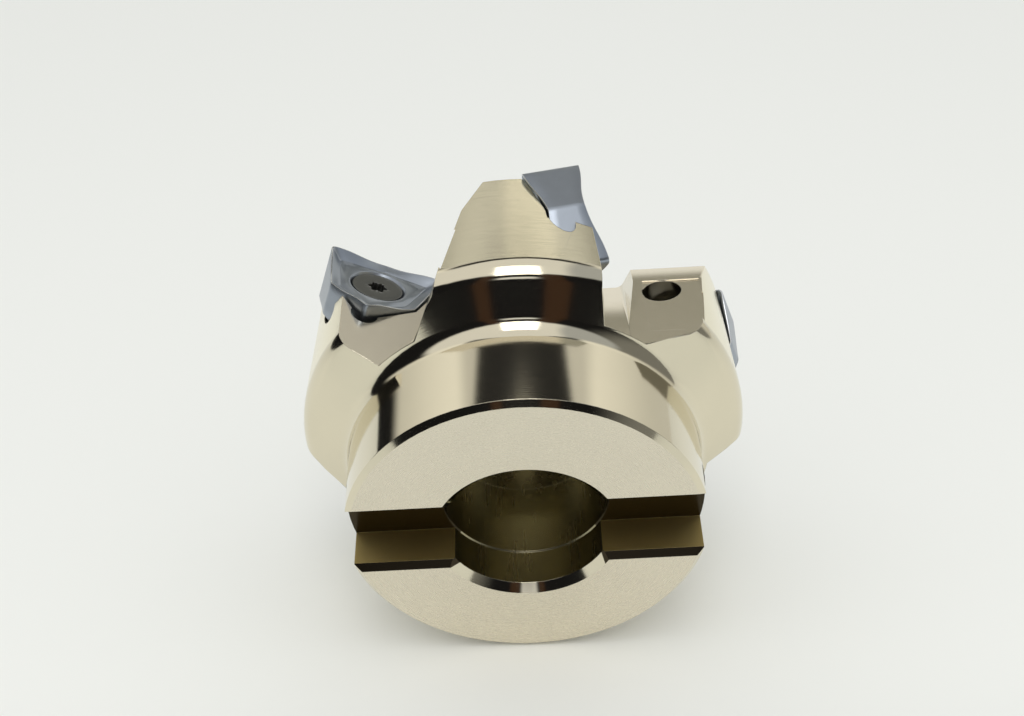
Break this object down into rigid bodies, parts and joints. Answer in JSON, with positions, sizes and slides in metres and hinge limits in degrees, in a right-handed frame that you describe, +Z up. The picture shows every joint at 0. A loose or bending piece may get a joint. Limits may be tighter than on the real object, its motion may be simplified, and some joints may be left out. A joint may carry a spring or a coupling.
{
  "type": "indexable face mill",
  "caption": "Arbor-mounted face mill with a conical shoulder, deep gullets, a keyed bore and double-sided trigon inserts screwed into milled pockets.",
  "frame": {"origin": "on the ground, under the middle of the tool's bounding box, as it lies on its side", "axes": "+Z up; +Y from the arbor face toward the cutting end, which stands higher, because the tool axis rises by 16.8 degrees; +X to the right seen from the arbor face"},
  "size_m": [0.0622, 0.0534, 0.0634],
  "materials": {
    "nickel_plated_steel": "satin nickel plating, polished on the hub and shoulder",
    "coated_carbide": "dark blue-grey coated sintered carbide",
    "blackened_steel": "blackened hardened steel"
  },
  "bodies": {
    "root": {"cutter_body": "nickel_plated_steel", "insert_1": "coated_carbide", "insert_2": "coated_carbide", "insert_3": "coated_carbide", "insert_4": "coated_carbide", "insert_5": "coated_carbide", "insert_screw_1": "blackened_steel", "insert_screw_2": "blackened_steel", "insert_screw_3": "blackened_steel", "insert_screw_4": "blackened_steel", "insert_screw_5": "blackened_steel"}
  },
  "joints": []
}
